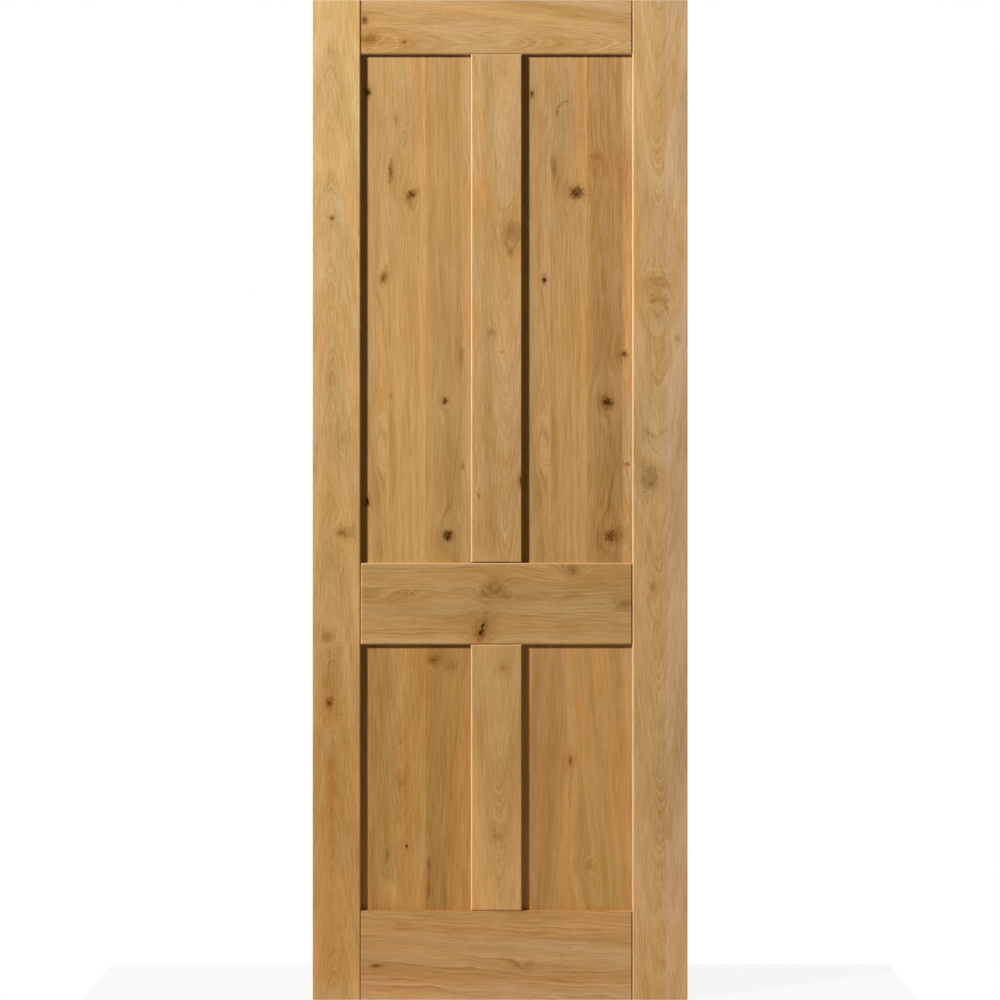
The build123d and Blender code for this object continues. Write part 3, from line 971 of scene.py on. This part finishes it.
def finish_board(node, base_colour):
    """Gives one board of the leaf its own figure, knots, stains and clear finish.
    Some stains are painted shade or highlight at the joints, and the arrises get a painted sheen.
    """
    oak = bpy.context.scene.oak_finish
    lying = node in RAILS
    figure = FIGURES[node]
    material, tree, shader = new_material(f"oak_{node}")
    lay = LAID if lying else (0, 0, 0)
    coords = add(tree, "TexCoord").outputs
    place = add(tree, "Mapping", {"Vector": coords["Object"], "Rotation": lay}).outputs[0]
    facing = add(tree, "Mapping", {"Vector": coords["Normal"], "Rotation": lay}).outputs[0]
    across, _, along = parts(tree, place)

    rough = noise(tree, place, scale=RAGGED_SCALE, detail=3.0)
    ragged = calc(tree, "MULTIPLY_ADD", rough, RAGGED_WIDTH, -RAGGED_WIDTH / 2)
    knots, push, grain_place = part_grain(tree, node, place, ragged, lying)
    grain_place = lay_veneer(tree, figure, grain_place, across)

    pith_across, pith_depth = figure.pith
    behind = pith_depth * MM + FACE
    rings = place_group(tree, "oak_rings", {
        "Place": grain_place, "Pith": (pith_across * MM, -behind if lying else behind, 0.0),
        "Taper": figure.taper, "Ring": figure.ring * MM, "Wander": figure.wander * MM,
        "Push": push, "Seed": figure.seed,
    })["Rings"]
    near, far = (LEAF_LOW.x, LEAF_HIGH.x) if lying else (LEAF_LOW.z, LEAF_HIGH.z)
    ground = mix(
        tree, span(tree, along, near, far, smooth=False),
        toned(base_colour, figure.low), toned(base_colour, figure.high),
    )
    ground = mix(tree, 1.0, ground, tone_ramp(tree, TONES[node], across), blend="MULTIPLY")
    fibres = figure.fine
    for edge, change in figure.finer:
        past = calc(tree, "GREATER_THAN", across, edge * MM)
        fibres = calc(tree, "MULTIPLY_ADD", past, change, fibres)
    grain = place_group(tree, "oak_grain", {
        "Place": grain_place, "Rings": rings, "Oak": ground, "Lines": figure.lines,
        "Streaks": figure.streaks, "Facing": facing, "Ring": figure.ring * MM,
        "Fine": fibres, "Broad": figure.broad, "Ends": figure.ends_and_joint_shade,
    })

    colour = grain["Color"]
    for stain in STAINS[node]:
        patch = mark_of(tree, stain, place, ragged, STAIN_REACH, lying)["Halo"]
        colour = tinted(tree, colour, stain.hue, times(tree, patch, stain.strength))
    colour = draw_knots(tree, knots, colour, place, oak)
    # Painted sheen: every arris facing across the grain is mixed towards a pale colour standing in
    # for the finish's shine
    aside = calc(tree, "ABSOLUTE", parts(tree, facing)["X"])
    arris = times(tree, span(tree, aside, *ARRIS_COMES), span(tree, aside, *ARRIS_GOES))
    arris_sheen = times(tree, arris, figure.arris_sheen)
    colour = mix(tree, arris_sheen, colour, (*oak.arris_sheen_colour, 1))

    put(tree, shader.inputs["Base Color"], colour)
    put(tree, shader.inputs["Roughness"], grain["Roughness"])
    shader.inputs["Specular IOR Level"].default_value = oak.gloss
    bump = add(tree, "Bump", {"Height": grain["Height"], **RELIEF}).outputs[0]
    put(tree, shader.inputs["Normal"], bump)
    cover(node, material)


def new_material(name):
    """A material, its node tree and its shader."""
    material = bpy.data.materials.new(name)
    material.use_nodes = True
    tree = material.node_tree
    return material, tree, tree.nodes["Principled BSDF"]


def cover(node, material):
    """Puts a material on a solid of the leaf."""
    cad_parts[node].material_slots[0].material = material


class DOOR_OT_groups(Operator):
    """Build the shader groups that every board shares"""

    bl_idname = "door.oak_groups"
    bl_label = "Oak patterns"

    def execute(self, context):
        make_mark_group()
        make_ring_group()
        make_grain_group()
        return {"FINISHED"}


class DOOR_OT_frame(Operator):
    """Finish the stiles, rails and muntins"""

    bl_idname = "door.frame_boards"
    bl_label = "Frame boards"

    def execute(self, context):
        for node in UPRIGHTS + RAILS:
            finish_board(node, context.scene.oak_finish.frame_colour)
        return {"FINISHED"}


class DOOR_OT_panels(Operator):
    """Finish the four panels"""

    bl_idname = "door.panels"
    bl_label = "Panels"

    def execute(self, context):
        for node in PANELS:
            finish_board(node, context.scene.oak_finish.panel_colour)
        return {"FINISHED"}


# The dowels' beech, speckled in two tones
BEECH = ((0.62, 0.42, 0.25, 1), (0.72, 0.52, 0.34, 1))
SPECKLE_SCALE = 900.0
BEECH_ROUGHNESS = 0.7


class DOOR_OT_dowels(Operator):
    """Finish the dowels inside the joints"""

    bl_idname = "door.dowels"
    bl_label = "Dowels"

    def execute(self, context):
        material, tree, shader = new_material("beech_dowel")
        place = add(tree, "TexCoord").outputs["Object"]
        colour = mix(tree, noise(tree, place, scale=SPECKLE_SCALE), *BEECH)
        put(tree, shader.inputs["Base Color"], colour)
        shader.inputs["Roughness"].default_value = BEECH_ROUGHNESS
        for node in DOWELS:
            cover(node, material)
        return {"FINISHED"}


# The studio, in metres. The shown face looks along -Y.
KEY_PLACE = (-4.54, -3.02, 3.42)
KEY_SIZE = 0.5
BACK_PLACE = (2.6, 5.2, 3.4)
BACK_SIZE = 1.2
FLOOR_HALF_SIZE = (0.85, 0.55, 1)
FLOOR_FORWARD = 0.2  # how far the floor's middle lies in front of the leaf
FLOOR_GLOW = 0.85  # how much of the floor is plain white to the camera
FLOOR_ROUGHNESS = 0.9
SENSOR_WIDTH = 36.0  # in millimetres
SQUARE_ON = (math.pi / 2, 0, 0)
WHITE = (1, 1, 1, 1)


class DOOR_OT_studio(Operator):
    """Set up the floor, the lamps, the white background and the camera"""

    bl_idname = "door.studio"
    bl_label = "Studio"

    def execute(self, context):
        studio = context.scene.door_studio
        make_floor(studio)
        middle = Vector((0, 0, LEAF_HEIGHT / 2))
        make_lamp("key_lamp", KEY_PLACE, middle, studio.key_power, KEY_SIZE)
        make_lamp("back_lamp", BACK_PLACE, middle, studio.back_power, BACK_SIZE)
        make_world(context.scene, studio.fill)
        make_camera(context.scene, studio.camera_distance)
        return {"FINISHED"}


def make_floor(studio):
    """A pale floor under the leaf, which shows nearly white to the camera but keeps a shadow."""
    sheet = bmesh.new()
    bmesh.ops.create_grid(sheet, x_segments=1, y_segments=1, size=1)
    bmesh.ops.scale(sheet, vec=FLOOR_HALF_SIZE, verts=sheet.verts)
    bmesh.ops.translate(sheet, vec=(0, -FLOOR_FORWARD, LEAF_LOW.z), verts=sheet.verts)
    mesh = bpy.data.meshes.new("floor")
    sheet.to_mesh(mesh)
    sheet.free()
    floor = bpy.data.objects.new("floor", mesh)
    bpy.context.scene.collection.objects.link(floor)
    material, tree, shader = new_material("pale_floor")
    shader.inputs["Base Color"].default_value = (*studio.floor_colour, 1)
    shader.inputs["Roughness"].default_value = FLOOR_ROUGHNESS
    seen = add(tree, "LightPath").outputs["Is Camera Ray"]
    white = add(tree, "Emission", {"Color": WHITE, "Strength": 1.0}).outputs[0]
    blend = add(tree, "MixShader", {"Fac": times(tree, seen, FLOOR_GLOW)})
    tree.links.new(shader.outputs[0], blend.inputs[1])
    tree.links.new(white, blend.inputs[2])
    tree.links.new(blend.outputs[0], tree.nodes["Material Output"].inputs["Surface"])
    mesh.materials.append(material)


def make_lamp(name, at, towards, power, size):
    """A square lamp that looks at a point."""
    light = bpy.data.lights.new(name, "AREA")
    light.energy = power
    light.size = size
    lamp = bpy.data.objects.new(name, light)
    lamp.location = at
    lamp.rotation_euler = (towards - Vector(at)).to_track_quat("-Z", "Y").to_euler()
    bpy.context.scene.collection.objects.link(lamp)


def make_world(scene, fill):
    """White where it is seen or mirrored, and a low even fill elsewhere."""
    world = bpy.data.worlds.new("studio")
    world.use_nodes = True
    tree = world.node_tree
    path = add(tree, "LightPath").outputs
    seen = calc(tree, "MAXIMUM", path["Is Camera Ray"], path["Is Glossy Ray"])
    seen = calc(tree, "MAXIMUM", seen, path["Is Transmission Ray"])
    strength = calc(tree, "MULTIPLY_ADD", seen, 1.0 - fill, fill)
    shader = tree.nodes["Background"]
    shader.inputs["Color"].default_value = WHITE
    put(tree, shader.inputs["Strength"], strength)
    scene.world = world


def make_camera(scene, distance):
    """A camera square on to the leaf, whose frame is exactly as high as the leaf."""
    lens = bpy.data.cameras.new("camera")
    lens.sensor_width = SENSOR_WIDTH
    lens.lens = SENSOR_WIDTH * distance / LEAF_HEIGHT
    camera = bpy.data.objects.new("camera", lens)
    camera.location = (0, FACE - distance, LEAF_LOW.z + LEAF_HEIGHT / 2)
    camera.rotation_euler = SQUARE_ON
    scene.collection.objects.link(camera)
    scene.camera = camera
    scene.view_settings.view_transform = "Standard"


class DOOR_PT_sidebar(Panel):
    """Lists the steps and the values that they use"""

    bl_label = "Oak door leaf"
    bl_idname = "DOOR_PT_sidebar"
    bl_space_type = "VIEW_3D"
    bl_region_type = "UI"
    bl_category = "Door"

    def draw(self, context):
        for values in (context.scene.oak_finish, context.scene.door_studio):
            for name in values.__annotations__:
                self.layout.prop(values, name)
        for step in STEPS:
            self.layout.operator(step.bl_idname)


STEPS = (DOOR_OT_groups, DOOR_OT_frame, DOOR_OT_panels, DOOR_OT_dowels, DOOR_OT_studio)
CLASSES = (OakFinish, DoorStudio, *STEPS, DOOR_PT_sidebar)


def register():
    """Adds the classes and the values that they use."""
    for kind in CLASSES:
        bpy.utils.register_class(kind)
    bpy.types.Scene.oak_finish = PointerProperty(type=OakFinish)
    bpy.types.Scene.door_studio = PointerProperty(type=DoorStudio)


def unregister():
    """Takes them away again."""
    del bpy.types.Scene.door_studio
    del bpy.types.Scene.oak_finish
    for kind in reversed(CLASSES):
        bpy.utils.unregister_class(kind)


def main():
    """Makes every piece in order."""
    register()
    bpy.ops.door.oak_groups()
    bpy.ops.door.frame_boards()
    bpy.ops.door.panels()
    bpy.ops.door.dowels()
    bpy.ops.door.studio()


if __name__ == "__main__":
    main()
